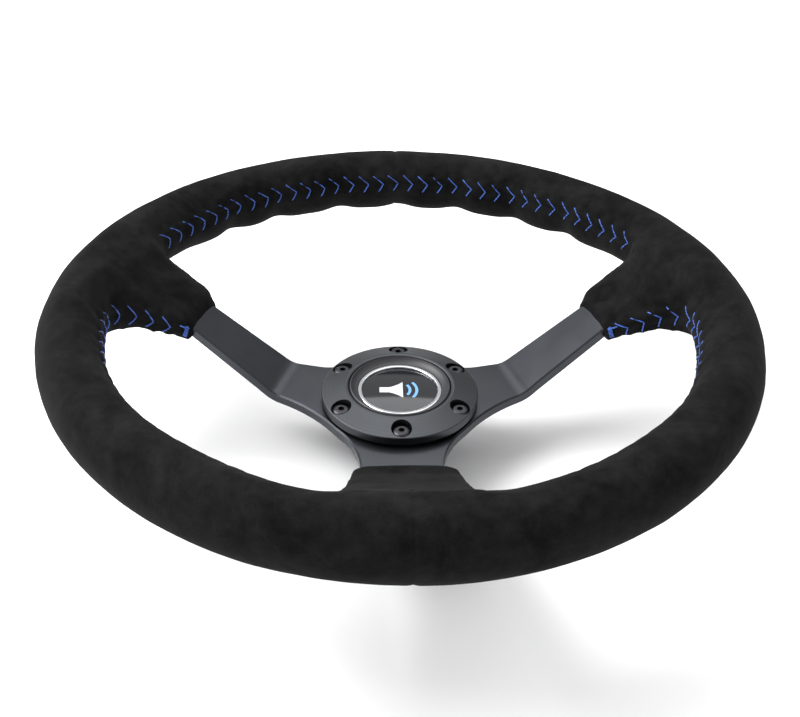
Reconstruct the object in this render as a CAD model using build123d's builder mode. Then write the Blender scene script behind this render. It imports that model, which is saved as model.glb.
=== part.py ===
"""Three-spoke dished steering wheel with a horn button and a ball-lock quick release.

The frame is the wheel's own: +Z is the column axis and points at the driver, +Y points at
twelve o'clock, and the origin is the centre of the quick release's end face. Millimetres.
"""
from build123d import *
import os
from math import asin, atan2, cos, degrees, hypot, pi, radians, sin, sqrt, tan

os.makedirs("parts", exist_ok=True)

# Six screws on a standard bolt circle: the hub plate and its bore are laid out from it
screw_circle = 70.0
screw_count = 6
first_screw_angle = 30.0
hub_margin = 7.0                  # hub plate outside the bolt circle
bore_margin = 8.8                 # bolt circle to the hub plate's bore
screw_radius = 2.5
screw_head_radius = 4.75
screw_head_height = 2.75
screw_socket_width = 3.0          # across flats
screw_socket_depth = 1.6
screw_head_rounding = 1.9
screw_tip_gap = 0.05              # screw's tip to the back of the release hub's flange
screw_clearance = 0.25
thread_clearance = 0.05
head_clearance = 0.5

# Wheel: one pressed plate carries the hub, the three spokes and the band inside the grip
wheel_diameter = 350.0
dish = 76.2                       # back of the hub plate to the top of the grip
grip_width = 30.5                 # across the grip, in the wheel's plane
grip_height = 36.0                # across the grip, along the column
grip_end_flattening = 1.75        # half the grip's width less the radius of its front and back
cover_thickness = 1.3
plate_thickness = 5.0
band_width = 16.0
side_spoke_angle = 17.0           # above three and nine o'clock
side_root_width = 37.0            # at the wheel's axis
side_end_width = 20.0             # at the band
lower_root_width = 43.0
lower_end_width = 36.0
upper_fillet = 20.0               # side spoke's upper edge into the hub plate
lower_fillet = 90.0               # side spoke's lower edge into the hub plate
bottom_fillet = 45.0              # bottom spoke into the hub plate
hub_bend_distance = 23.6          # hub plate's edge to the bend
band_bend_distance = 13.7         # bend to the middle of the grip
bend_radius = 12.0                # inside of each bend
edge_break = 0.8

# Padded sleeves where the cover runs down the spokes
pad_thickness = 3.0               # cover and foam on each face of a spoke
side_sleeve_length = 35.5         # from the inside of the grip
side_sleeve_margin = 4.8          # sleeve's tip beyond each edge of the spoke
side_sleeve_shoulder = 3.5        # upper edge beyond the tip's corner
side_sleeve_flare = 13.5          # lower edge beyond the tip's corner, at the flare's end
side_sleeve_flare_length = 22.0
side_sleeve_root = 28.5           # lower edge beyond the tip's corner, at the grip
lower_sleeve_lead = 11.6          # sleeve's tip to the bend
lower_sleeve_margin = 5.7
lower_sleeve_flare = 6.0          # each edge beyond the tip's corner, at the grip
sleeve_corner = 6.0
thread_radius = 0.45
seam_height = 3.0                 # seam above the grip's middle
seam_end_gap = 6.0                # from a sleeve's edge to the end of the seam
seam_clearance = 0.02

# Trim ring and the spacer under it
spacer_margin = 4.0               # outside the bolt circle
spacer_thickness = 1.4
trim_margin = 6.0                 # outside the bolt circle
trim_bore_step = 0.7              # trim ring's bore beyond the hub plate's
trim_wall = 4.2
trim_crest = 7.9                  # crest of the ring above its underside
trim_crest_width = 1.1            # from the bore to the crest
crest_drop = 0.6                  # from the crest down to the bore's edge
crest_rounding = 2.0
rim_rounding = 0.6
screw_seat = 2.15                 # trim metal under a screw head

# Horn button
horn_travel = 2.5
running_gap = 0.3
spring_gap = 0.1                  # at each end of a spring
housing_gap = 0.2                 # housing in the plate's bore
housing_flange_width = 3.6
housing_wall = 1.6
housing_floor = 1.3
retainer_width = 1.2
retainer_height = 1.5
cap_gap = 0.5                     # between the cap and the trim ring
cap_brim_gap = 0.4                # left between cap and housing when the horn is pressed
cap_drop = 0.3                    # cap's crest below the trim ring's
cap_brim_width = 4.25
cap_brim_round = 0.8
cap_dish = 2.7                    # from the cap's crest down to the bezel
dish_sag = 0.45
cap_skirt = 1.4
cap_lip_height = 2.4
lip_gap = 0.1
cap_floor = 1.8
seat_clearance = 0.05
bezel_width = 2.45
bezel_height = 1.6
bezel_rounding = 0.7
badge_clearance = 0.1
badge_thickness = 0.6
dome_height = 1.2
dome_edge = 0.4
contact_thickness = 0.8
contact_margin = 3.5              # inside the cap's skirt
contact_gap = 0.2                 # left between the contacts when the horn is pressed
horn_wire = 1.0
horn_coil_radius = 6.6
horn_coils = 4.0
coil_clearance = 1.1
terminal_width = 6.3
terminal_length = 9.0
terminal_inset = 2.0              # from the contacts' inner edge
terminal_chamfer = 0.25
terminal_clearance = 2.0
spline_gap = 0.8                  # terminals' tips to the spline
slot_clearance = 0.1

# Quick release, from the socket that the column's shaft goes into
socket_radius = 12.6
pilot_step = 0.4
spline_depth = 1.6
spline_teeth = 18
spline_overcut = 0.2
ball_radius = 3.0
ball_count = 6
ball_height = 8.0
ball_margin = 0.5                 # balls to the pilot bore and to the spline
ball_reach = 1.2                  # ball stands into the socket
ball_proud = 0.4                  # ball stands out of the neck
ball_travel = 1.3
ball_clearance = 0.1
ring_groove_start = 1.0
ring_groove_width = 1.2
ring_groove_depth = 1.0
ring_width = 3.5                  # circlip outside the neck
ring_clearance = 0.05
ring_opening = 7.0
release_wire = 1.6
release_coils = 2.4
release_coil_gap = 1.4            # between the spring and the neck
collar_pocket_gap = 1.5           # between the spring and the collar
collar_ledge = 4.5                # balls to the ledge that the spring stands on
collar_pocket_depth = 4.7
collar_wall = 2.8
collar_lip_width = 1.2
collar_lip = 3.0
collar_travel = 4.5
collar_clearance = 0.1
collar_end_gap = 0.3              # left above the collar when it is drawn back
flute_count = 30
flute_radius = 1.1
flute_margin = 1.0
boss_width = 2.5                  # boss beyond the collar's pocket
boss_height = 2.5
flange_margin = 4.0               # outside the bolt circle
flange_thickness = 5.5
flange_chamfer = 1.2
recess_clearance = 0.5

# Quick release, from its end face up
pilot_radius = socket_radius + pilot_step
pilot_length = ball_height - ball_radius - ball_margin
spline_start = ball_height + ball_radius + ball_margin
spline_radius = socket_radius - spline_depth
ball_centre_radius = socket_radius - ball_reach + ball_radius
neck_radius = ball_centre_radius + ball_radius - ball_proud
release_coil_radius = neck_radius + release_coil_gap + release_wire / 2
collar_pocket_radius = release_coil_radius + release_wire / 2 + collar_pocket_gap
collar_grip_radius = collar_pocket_radius + collar_wall
collar_radius = collar_grip_radius + collar_lip_width
collar_start = ring_groove_start + ring_groove_width + collar_clearance
collar_ledge_height = ball_height + collar_ledge
collar_end = collar_ledge_height + collar_pocket_depth
boss_base = collar_end + collar_travel + collar_end_gap
boss_radius = collar_pocket_radius + boss_width
flange_base = boss_base + boss_height
flange_radius = screw_circle / 2 + flange_margin

# Wheel, from the back of the hub plate up
plate_back = flange_base + flange_thickness
plate_top = plate_back + plate_thickness
plate_radius = screw_circle / 2 + hub_margin
plate_bore_radius = screw_circle / 2 - bore_margin
tall = plate_back + dish
rim_radius = (wheel_diameter - grip_width) / 2
rim_height = tall - grip_height / 2
rim_inner_radius = rim_radius - grip_width / 2
band_inner_radius = rim_radius - band_width / 2
band_outer_radius = rim_radius + band_width / 2
hub_bend_height = plate_back + plate_thickness / 2
bend_start = plate_radius + hub_bend_distance
band_bend = rim_radius - band_bend_distance
bend_rise = atan2(rim_height - hub_bend_height, band_bend - bend_start)
trim_base = plate_top + spacer_thickness
screw_head_base = trim_base + screw_seat
screw_length = screw_head_base - flange_base - screw_tip_gap
screw_hole_radius = screw_radius + screw_clearance
head_hole_radius = screw_head_radius + head_clearance


def along(angle):
    """Plane seen from above, with its X axis running out along a spoke."""
    out = (cos(radians(angle)), sin(radians(angle)), 0)
    return Plane(origin=(0, 0, 0), x_dir=out, z_dir=(0, 0, 1))


def edge_on(angle):
    """Upright plane through the column axis and a spoke's middle, with Y up."""
    out = (cos(radians(angle)), sin(radians(angle)), 0)
    across = (sin(radians(angle)), -cos(radians(angle)), 0)
    return Plane(origin=(0, 0, 0), x_dir=out, z_dir=across)


def pressed(plan, angle, half_thickness):
    """Cut an outline seen from above to the bent side view of a spoke."""
    corner = half_thickness * tan(bend_rise / 2)
    inner = bend_radius + plate_thickness / 2 - half_thickness
    outer = bend_radius + plate_thickness / 2 + half_thickness
    stations = (-plate_radius, bend_start, band_bend, rim_radius)
    heights = (hub_bend_height, hub_bend_height, rim_height, rim_height)
    shifts = (0, corner, corner, 0)
    top = [(s - d, h + half_thickness) for s, h, d in zip(stations, heights, shifts)]
    under = [(s + d, h - half_thickness) for s, h, d in zip(stations, heights, shifts)]
    with BuildPart() as plate:
        add(plan)
        extrude(amount=tall, dir=(0, 0, 1))
        with BuildSketch(edge_on(angle)):
            with BuildLine():
                upper = FilletPolyline(*top, radius=[inner, outer])
                lower = FilletPolyline(*under, radius=[outer, inner])
                Line(upper @ 0, lower @ 0)
                Line(upper @ 1, lower @ 1)
            make_face()
        extrude(amount=wheel_diameter / 2, both=True, mode=Mode.INTERSECT)
    return plate.part


def spoke_plan(angle, root_width, end_width, left_fillet, right_fillet):
    """Hub disc and one tapered spoke from above, filleted into each other."""
    with BuildSketch(along(angle)) as plan:
        Circle(plate_radius)
        with BuildLine():
            Polyline(
                (0, root_width / 2),
                (rim_radius, end_width / 2),
                (rim_radius, -end_width / 2),
                (0, -root_width / 2),
                close=True,
            )
        make_face()
        for side, radius in ((1, left_fillet), (-1, right_fillet)):
            corners = plan.vertices().filter_by(
                lambda v: v.Y * side > 0 and abs(sqrt(v.X**2 + v.Y**2) - plate_radius) < 0.01
            )
            fillet(corners, radius)
    return plan.sketch


def edge_offset(root_width, end_width, distance):
    """Half of a spoke's width at a distance from the axis."""
    return (root_width + (end_width - root_width) * distance / rim_radius) / 2


side_sleeve_start = rim_inner_radius - side_sleeve_length
side_sleeve_tip = edge_offset(side_root_width, side_end_width, side_sleeve_start) + side_sleeve_margin
lower_sleeve_start = bend_start - lower_sleeve_lead
lower_sleeve_tip = edge_offset(lower_root_width, lower_end_width, lower_sleeve_start) + lower_sleeve_margin


def side_sleeve_plan(inset):
    """Right sleeve from above, drawn in by inset: a thumb rest flares from its lower edge."""
    start = side_sleeve_start
    flare_end = start + side_sleeve_flare_length
    shoulder = start + side_sleeve_flare_length / 2
    with BuildSketch(along(side_spoke_angle)) as plan:
        with BuildLine():
            Polyline(
                (start, side_sleeve_tip),
                (shoulder, side_sleeve_tip + side_sleeve_shoulder),
                (rim_radius, side_sleeve_tip + side_sleeve_shoulder),
                (rim_radius, -side_sleeve_tip - side_sleeve_root),
                (rim_inner_radius, -side_sleeve_tip - side_sleeve_root),
                (flare_end, -side_sleeve_tip - side_sleeve_flare),
                (start, -side_sleeve_tip),
                close=True,
            )
        make_face()
        tip = plan.vertices().group_by(Axis.X)[0]
        fillet(tip, sleeve_corner)
        if inset:
            offset(amount=-inset, kind=Kind.INTERSECTION)
    return plan.sketch


def lower_sleeve_plan(inset):
    """Bottom sleeve from above, drawn in by inset."""
    tip_half, root_half = lower_sleeve_tip, lower_sleeve_tip + lower_sleeve_flare
    flare_start = (lower_sleeve_start + rim_inner_radius) / 2
    with BuildSketch(along(-90)) as plan:
        with BuildLine():
            Polyline(
                (lower_sleeve_start, tip_half),
                (flare_start, tip_half),
                (rim_inner_radius, root_half),
                (rim_radius, root_half),
                (rim_radius, -root_half),
                (rim_inner_radius, -root_half),
                (flare_start, -tip_half),
                (lower_sleeve_start, -tip_half),
                close=True,
            )
        make_face()
        tip = plan.vertices().group_by(Axis.X)[0]
        fillet(tip, sleeve_corner)
        if inset:
            offset(amount=-inset, kind=Kind.INTERSECTION)
    return plan.sketch


def flank_arc(half_width, half_height, end_radius):
    """Radius of the arcs that join the round front and back of the grip's oval section."""
    end_centre = half_height - end_radius
    return (half_width**2 + end_centre**2 - end_radius**2) / (2 * (half_width - end_radius))


def wrapped_half(inset):
    """Right half of the grip ring with its sleeves, drawn in by inset all over.

    The grip's section is an oval of four tangent arcs, so a smaller inset shape is parallel to it.
    """
    half_thickness = plate_thickness / 2 + pad_thickness - inset
    side_sleeve = pressed(side_sleeve_plan(inset), side_spoke_angle, half_thickness)
    lower_sleeve = pressed(lower_sleeve_plan(inset), -90, half_thickness)
    half_width = grip_width / 2 - inset
    half_height = grip_height / 2 - inset
    end_radius = half_width - grip_end_flattening
    end_centre = half_height - end_radius
    flank_radius = flank_arc(half_width, half_height, end_radius)
    meet_x = (flank_radius - half_width) / (flank_radius - end_radius) * end_radius
    meet_z = end_centre + end_centre / (flank_radius - end_radius) * end_radius
    inner, outer = rim_radius - meet_x, rim_radius + meet_x
    low, high = rim_height - meet_z, rim_height + meet_z
    with BuildPart() as half:
        with BuildSketch(Plane.YZ):
            with BuildLine():
                ThreePointArc((inner, high), (rim_radius, rim_height + half_height), (outer, high))
                ThreePointArc((outer, high), (rim_radius + half_width, rim_height), (outer, low))
                ThreePointArc((outer, low), (rim_radius, rim_height - half_height), (inner, low))
                ThreePointArc((inner, low), (rim_radius - half_width, rim_height), (inner, high))
            make_face()
        revolve(axis=Axis.Z, revolution_arc=-180)
        add(side_sleeve)
        add(lower_sleeve)
        split(bisect_by=Plane.YZ, keep=Keep.TOP)
    return half.part


def edge_broken(plate):
    """Chamfer a spoke's outline on its front."""
    with BuildPart() as broken:
        add(plate)
        front = broken.faces().filter_by(lambda f: f.normal_at().Z > 0.5)
        walls = broken.faces().filter_by(lambda f: abs(f.normal_at().Z) < 0.1)
        chamfer(front.edges().filter_by(lambda e: e in walls.edges()), edge_break)
    return broken.part


# Spoke frame: one aluminium plate, pressed to a dish, with its front edges broken
side_plan = spoke_plan(side_spoke_angle, side_root_width, side_end_width, upper_fillet, lower_fillet)
side_spoke = edge_broken(pressed(side_plan, side_spoke_angle, plate_thickness / 2))
lower_plan = spoke_plan(-90, lower_root_width, lower_end_width, bottom_fillet, bottom_fillet)
lower_spoke = edge_broken(pressed(lower_plan, -90, plate_thickness / 2))

with BuildPart() as spoke_frame:
    add(side_spoke)
    add(side_spoke.mirror(Plane.YZ))
    add(lower_spoke)
    with BuildSketch(Plane.XY.offset(rim_height - plate_thickness / 2)):
        Circle(band_outer_radius)
        Circle(band_inner_radius, mode=Mode.SUBTRACT)
    extrude(amount=plate_thickness)
    with BuildSketch(Plane.XY.offset(plate_back)):
        Circle(plate_bore_radius)
    extrude(amount=plate_thickness, mode=Mode.SUBTRACT)
    with BuildSketch(Plane.XY.offset(plate_back)):
        with PolarLocations(screw_circle / 2, screw_count, start_angle=first_screw_angle):
            Circle(screw_hole_radius)
    extrude(amount=plate_thickness, mode=Mode.SUBTRACT)
spoke_frame.part.label = "spoke_frame"
export_step(spoke_frame.part, "parts/spoke_frame.step")

# Grip: polyurethane foam moulded round the band and the outer ends of the spokes
foam_half = wrapped_half(cover_thickness)
with BuildPart() as grip_foam:
    add(foam_half)
    add(spoke_frame.part, mode=Mode.SUBTRACT)
    mirror(about=Plane.YZ)
grip_foam.part.label = "grip_foam"
export_step(grip_foam.part, "parts/grip_foam.step")

# Cover: two suede halves that meet at twelve and six o'clock, each with its own sleeves
with BuildPart() as grip_cover_right:
    add(wrapped_half(0))
    add(foam_half, mode=Mode.SUBTRACT)
    add(spoke_frame.part, mode=Mode.SUBTRACT)
grip_cover_right.part.label = "grip_cover_right"
export_step(grip_cover_right.part, "parts/grip_cover_right.step")

with BuildPart() as grip_cover_left:
    add(grip_cover_right.part.mirror(Plane.YZ))
grip_cover_left.part.label = "grip_cover_left"
export_step(grip_cover_left.part, "parts/grip_cover_left.step")

# Seam thread: it closes the cover along the inside of the grip, from spoke to spoke
flank_radius = flank_arc(grip_width / 2, grip_height / 2, grip_width / 2 - grip_end_flattening)
seam_inset = flank_radius - sqrt(flank_radius**2 - seam_height**2)
seam_radius = rim_inner_radius + seam_inset - thread_radius - seam_clearance


def seam_gap(edge):
    """Degrees from a spoke's middle to the end of the seam beside a sleeve's edge."""
    return degrees(asin((edge + seam_end_gap) / seam_radius))


upper_gap = seam_gap(side_sleeve_tip + side_sleeve_shoulder)
lower_gap = seam_gap(side_sleeve_tip + side_sleeve_root)
bottom_gap = seam_gap(lower_sleeve_tip + lower_sleeve_flare)
seam_runs = (
    (side_spoke_angle + upper_gap, 180 - side_spoke_angle - upper_gap),
    (180 - side_spoke_angle + lower_gap, 270 - bottom_gap),
    (270 + bottom_gap, 360 + side_spoke_angle - lower_gap),
)
with BuildPart() as seam_thread:
    for start, end in seam_runs:
        with BuildSketch(edge_on(start)):
            with Locations((seam_radius, rim_height + seam_height)):
                Circle(thread_radius)
        revolve(axis=Axis.Z, revolution_arc=end - start)
seam_thread.part.label = "seam_thread"
export_step(seam_thread.part, "parts/seam_thread.step")

# Spacer ring: thin and smaller than the trim ring, so a dark line shows under the trim
housing_flange_radius = plate_bore_radius + housing_flange_width
with BuildPart() as spacer_ring:
    with BuildSketch(Plane.XY.offset(plate_top)):
        Circle(screw_circle / 2 + spacer_margin)
        Circle(housing_flange_radius + housing_gap, mode=Mode.SUBTRACT)
        with PolarLocations(screw_circle / 2, screw_count, start_angle=first_screw_angle):
            Circle(screw_hole_radius, mode=Mode.SUBTRACT)
    extrude(amount=spacer_thickness)
spacer_ring.part.label = "spacer_ring"
export_step(spacer_ring.part, "parts/spacer_ring.step")

# Trim ring: turned aluminium, a cone that climbs from its rim to a rounded crest
trim_radius = screw_circle / 2 + trim_margin
trim_bore_radius = plate_bore_radius + trim_bore_step
trim_crest_radius = trim_bore_radius + trim_crest_width
with BuildPart() as trim_ring:
    with BuildSketch(Plane.XZ):
        with BuildLine():
            Polyline(
                (trim_bore_radius, trim_base),
                (trim_radius, trim_base),
                (trim_radius, trim_base + trim_wall),
                (trim_crest_radius, trim_base + trim_crest),
                (trim_bore_radius, trim_base + trim_crest - crest_drop),
                close=True,
            )
        make_face()
    revolve(axis=Axis.Z)
    crest = trim_ring.edges().filter_by(GeomType.CIRCLE).filter_by(
        lambda e: abs(e.radius - trim_crest_radius) < 0.01
    )
    fillet(crest, crest_rounding)
    rim_edge = trim_ring.edges().filter_by(GeomType.CIRCLE).filter_by(
        lambda e: abs(e.radius - trim_radius) < 0.01
    )
    fillet(rim_edge.sort_by(Axis.Z)[-1], rim_rounding)
    with BuildSketch(Plane.XY.offset(screw_head_base)):
        with PolarLocations(screw_circle / 2, screw_count, start_angle=first_screw_angle):
            Circle(head_hole_radius)
    extrude(amount=trim_crest, mode=Mode.SUBTRACT)
    with BuildSketch(Plane.XY.offset(trim_base)):
        with PolarLocations(screw_circle / 2, screw_count, start_angle=first_screw_angle):
            Circle(screw_hole_radius)
    extrude(amount=screw_seat, mode=Mode.SUBTRACT)
trim_ring.part.label = "trim_ring"
export_step(trim_ring.part, "parts/trim_ring.step")

# Hub screws: button heads with hex sockets
with BuildPart() as hub_screws:
    with BuildSketch(Plane.XY.offset(screw_head_base - screw_length)):
        with PolarLocations(screw_circle / 2, screw_count, start_angle=first_screw_angle):
            Circle(screw_radius)
    extrude(amount=screw_length)
    with BuildSketch(Plane.XY.offset(screw_head_base)):
        with PolarLocations(screw_circle / 2, screw_count, start_angle=first_screw_angle):
            Circle(screw_head_radius)
    extrude(amount=screw_head_height)
    head_rims = hub_screws.edges().filter_by(GeomType.CIRCLE).group_by(Axis.Z)[-1]
    fillet(head_rims, screw_head_rounding)
    with BuildSketch(Plane.XY.offset(screw_head_base + screw_head_height)):
        with PolarLocations(screw_circle / 2, screw_count, start_angle=first_screw_angle):
            RegularPolygon(screw_socket_width / 2, 6, major_radius=False)
    extrude(amount=-screw_socket_depth, mode=Mode.SUBTRACT)
hub_screws.part.label = "hub_screws"
export_step(hub_screws.part, "parts/hub_screws.step")

# Horn housing: a flanged nylon cup, held between the hub plate and the trim ring
housing_radius = plate_bore_radius - housing_gap
housing_bore = housing_radius - housing_wall
retainer_base = trim_base - retainer_height
lip_top = retainer_base - lip_gap
lip_base = lip_top - cap_lip_height
housing_floor_top = lip_base - horn_travel - lip_gap
housing_base = housing_floor_top - housing_floor
contact_inner_radius = horn_coil_radius + horn_wire / 2 + coil_clearance
terminal_offset = contact_inner_radius + terminal_inset
with BuildPart() as horn_housing:
    with BuildSketch(Plane.XZ):
        with BuildLine():
            Polyline(
                (0, housing_base),
                (housing_radius, housing_base),
                (housing_radius, plate_top),
                (housing_flange_radius, plate_top),
                (housing_flange_radius, trim_base),
                (housing_bore, trim_base),
                (housing_bore, housing_floor_top),
                (0, housing_floor_top),
                close=True,
            )
        make_face()
    revolve(axis=Axis.Z)
    with BuildSketch(Plane.XY.offset(housing_base)):
        with Locations((terminal_offset, 0), (-terminal_offset, 0)):
            Rectangle(contact_thickness + slot_clearance, terminal_width + slot_clearance)
    extrude(amount=housing_floor, mode=Mode.SUBTRACT)
horn_housing.part.label = "horn_housing"
export_step(horn_housing.part, "parts/horn_housing.step")

# Retaining ring: pressed into the housing's mouth, it stops the cap's lip
retainer_bore = housing_bore - retainer_width
with BuildPart() as horn_retaining_ring:
    with BuildSketch(Plane.XY.offset(retainer_base)):
        Circle(housing_bore)
        Circle(retainer_bore, mode=Mode.SUBTRACT)
    extrude(amount=retainer_height)
horn_retaining_ring.part.label = "horn_retaining_ring"
export_step(horn_retaining_ring.part, "parts/horn_retaining_ring.step")

# Horn cap: its brim dishes down to the bezel and its skirt slides in the retaining ring
cap_radius = trim_bore_radius - cap_gap
cap_brim_base = trim_base + horn_travel + cap_brim_gap
cap_top = trim_base + trim_crest - cap_drop
skirt_radius = retainer_bore - running_gap
skirt_bore = skirt_radius - cap_skirt
lip_radius = housing_bore - running_gap
bezel_radius = cap_radius - cap_brim_width
bezel_seat = cap_top - cap_dish - bezel_height
cap_floor_base = bezel_seat - cap_floor
seat_radius = bezel_radius + seat_clearance
brim_corner = cap_brim_round * (1 - cos(pi / 4))
with BuildPart() as horn_cap:
    with BuildSketch(Plane.XZ):
        with BuildLine():
            Polyline(
                (0, cap_floor_base),
                (skirt_bore, cap_floor_base),
                (skirt_bore, lip_base),
                (lip_radius, lip_base),
                (lip_radius, lip_top),
                (skirt_radius, lip_top),
                (skirt_radius, cap_brim_base),
                (cap_radius, cap_brim_base),
                (cap_radius, cap_top - cap_brim_round),
            )
            ThreePointArc(
                (cap_radius, cap_top - cap_brim_round),
                (cap_radius - brim_corner, cap_top - brim_corner),
                (cap_radius - cap_brim_round, cap_top),
            )
            SagittaArc(
                (cap_radius - cap_brim_round, cap_top),
                (seat_radius, cap_top - cap_dish),
                dish_sag,
            )
            Polyline(
                (seat_radius, cap_top - cap_dish),
                (seat_radius, bezel_seat),
                (0, bezel_seat),
                (0, cap_floor_base),
            )
        make_face()
    revolve(axis=Axis.Z)
horn_cap.part.label = "horn_cap"
export_step(horn_cap.part, "parts/horn_cap.step")

# Bezel: a chromed ring round the badge, seated in the cap
with BuildPart() as chrome_bezel:
    with BuildSketch(Plane.XY.offset(bezel_seat)):
        Circle(bezel_radius)
        Circle(bezel_radius - bezel_width, mode=Mode.SUBTRACT)
    extrude(amount=bezel_height)
    fillet(chrome_bezel.edges().group_by(Axis.Z)[-1], bezel_rounding)
chrome_bezel.part.label = "chrome_bezel"
export_step(chrome_bezel.part, "parts/chrome_bezel.step")

# Badge: a printed disc under a poured dome of clear resin
badge_radius = bezel_radius - bezel_width - badge_clearance
with BuildPart() as badge_disc:
    with BuildSketch(Plane.XY.offset(bezel_seat)):
        Circle(badge_radius)
    extrude(amount=badge_thickness)
badge_disc.part.label = "badge_disc"
export_step(badge_disc.part, "parts/badge_disc.step")

dome_base = bezel_seat + badge_thickness
with BuildPart() as badge_dome:
    with BuildSketch(Plane.XZ):
        with BuildLine():
            Polyline(
                (0, dome_base + dome_height),
                (0, dome_base),
                (badge_radius, dome_base),
                (badge_radius, dome_base + dome_edge),
            )
            TangentArc((0, dome_base + dome_height), (badge_radius, dome_base + dome_edge), tangent=(1, 0))
        make_face()
    revolve(axis=Axis.Z)
badge_dome.part.label = "badge_dome"
export_step(badge_dome.part, "parts/badge_dome.step")

# Horn contacts: a brass washer under the cap and a brass cup on the housing's floor
contact_outer_radius = skirt_bore - contact_margin
moving_base = cap_floor_base - contact_thickness
with BuildPart() as moving_contact:
    with BuildSketch(Plane.XY.offset(moving_base)):
        Circle(contact_outer_radius)
        Circle(contact_inner_radius, mode=Mode.SUBTRACT)
    extrude(amount=contact_thickness)
moving_contact.part.label = "moving_contact"
export_step(moving_contact.part, "parts/moving_contact.step")

fixed_top = moving_base - horn_travel - contact_gap
with BuildPart() as fixed_contact:
    with BuildSketch(Plane.XY.offset(housing_floor_top)):
        Circle(contact_outer_radius)
        Circle(contact_inner_radius, mode=Mode.SUBTRACT)
    extrude(amount=contact_thickness)
    with BuildSketch(Plane.XY.offset(housing_floor_top)):
        Circle(contact_outer_radius)
        Circle(contact_outer_radius - contact_thickness, mode=Mode.SUBTRACT)
    extrude(amount=fixed_top - housing_floor_top)
fixed_contact.part.label = "fixed_contact"
export_step(fixed_contact.part, "parts/fixed_contact.step")

# Terminals: two spade blades that stand out of the housing's floor, for the horn's wires
with BuildPart() as spade_terminals:
    with BuildSketch(Plane.XY.offset(housing_floor_top - terminal_length)):
        with Locations((terminal_offset, 0), (-terminal_offset, 0)):
            Rectangle(contact_thickness, terminal_width)
    extrude(amount=terminal_length)
    tips = spade_terminals.edges().filter_by(Axis.X).group_by(Axis.Z)[0]
    chamfer(tips, terminal_chamfer)
spade_terminals.part.label = "spade_terminals"
export_step(spade_terminals.part, "parts/spade_terminals.step")

# Horn spring: it lifts the cap against the retaining ring
horn_spring_base = housing_floor_top + horn_wire / 2 + spring_gap
horn_spring_top = cap_floor_base - horn_wire / 2 - spring_gap
with BuildPart() as horn_spring:
    with BuildLine() as horn_coil:
        Helix(
            pitch=(horn_spring_top - horn_spring_base) / horn_coils,
            height=horn_spring_top - horn_spring_base,
            radius=horn_coil_radius,
            center=(0, 0, horn_spring_base),
        )
    with BuildSketch(Plane(origin=horn_coil.line @ 0, z_dir=horn_coil.line % 0)):
        Circle(horn_wire / 2)
    sweep()
horn_spring.part.label = "horn_spring"
export_step(horn_spring.part, "parts/horn_spring.step")

# Release hub: the splined sleeve that the wheel is bolted to
recess_floor = housing_base - recess_clearance
groove_radius = neck_radius - ring_groove_depth
spline_end = housing_floor_top - terminal_length - spline_gap
wire_bore_radius = hypot(terminal_offset + contact_thickness / 2, terminal_width / 2) + terminal_clearance
ball_hole_radius = ball_radius + ball_clearance
with BuildPart() as release_hub:
    with BuildSketch(Plane.XZ):
        with BuildLine():
            Polyline(
                (pilot_radius, 0),
                (neck_radius, 0),
                (neck_radius, ring_groove_start),
                (groove_radius, ring_groove_start),
                (groove_radius, ring_groove_start + ring_groove_width),
                (neck_radius, ring_groove_start + ring_groove_width),
                (neck_radius, boss_base),
                (boss_radius, boss_base),
                (boss_radius, flange_base),
                (flange_radius - flange_chamfer, flange_base),
                (flange_radius, flange_base + flange_chamfer),
                (flange_radius, plate_back),
                (housing_radius + recess_clearance, plate_back),
                (housing_radius + recess_clearance, recess_floor),
                (wire_bore_radius, recess_floor),
                (wire_bore_radius, spline_end),
                (spline_radius, spline_end),
                (spline_radius, spline_start),
                (socket_radius, spline_start),
                (socket_radius, pilot_length),
                (pilot_radius, pilot_length),
                close=True,
            )
        make_face()
    revolve(axis=Axis.Z)
    with BuildSketch(Plane.XY.offset(spline_start)):
        with PolarLocations((spline_radius + socket_radius) / 2, spline_teeth):
            Rectangle(socket_radius - spline_radius + spline_overcut, pi * spline_radius / spline_teeth)
    extrude(amount=spline_end - spline_start, mode=Mode.SUBTRACT)
    with BuildSketch(Plane.XY.offset(flange_base)):
        with PolarLocations(screw_circle / 2, screw_count, start_angle=first_screw_angle):
            Circle(screw_radius + thread_clearance)
    extrude(amount=flange_thickness, mode=Mode.SUBTRACT)
    with PolarLocations(ball_centre_radius, ball_count):
        with Locations((0, 0, ball_height)):
            Sphere(ball_hole_radius, mode=Mode.SUBTRACT)
            Cylinder(
                ball_hole_radius,
                neck_radius,
                rotation=(0, 90, 0),
                align=(Align.CENTER, Align.CENTER, Align.MIN),
                mode=Mode.SUBTRACT,
            )
release_hub.part.label = "release_hub"
export_step(release_hub.part, "parts/release_hub.step")

# Lock balls: each slides straight out when the collar is drawn back
for index in range(ball_count):
    with BuildPart() as lock_ball:
        with PolarLocations(ball_centre_radius, 1, start_angle=index * 360 / ball_count):
            with Locations((0, 0, ball_height)):
                Sphere(ball_radius)
    lock_ball.part.label = f"lock_ball_{index + 1}"
    export_step(lock_ball.part, f"parts/lock_ball_{index + 1}.step")

# Release collar: its cone holds the balls in, and lets them out as it slides to the flange
cone_slope = ball_travel / collar_travel
cone_offset = (ball_radius + ring_clearance) * sqrt(1 + cone_slope**2)
land_radius = neck_radius + collar_clearance


def cone_radius(height):
    """Inside of the collar's cone, which stays just clear of the balls all the way."""
    return ball_centre_radius + cone_offset + (ball_height - height) * cone_slope


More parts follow.
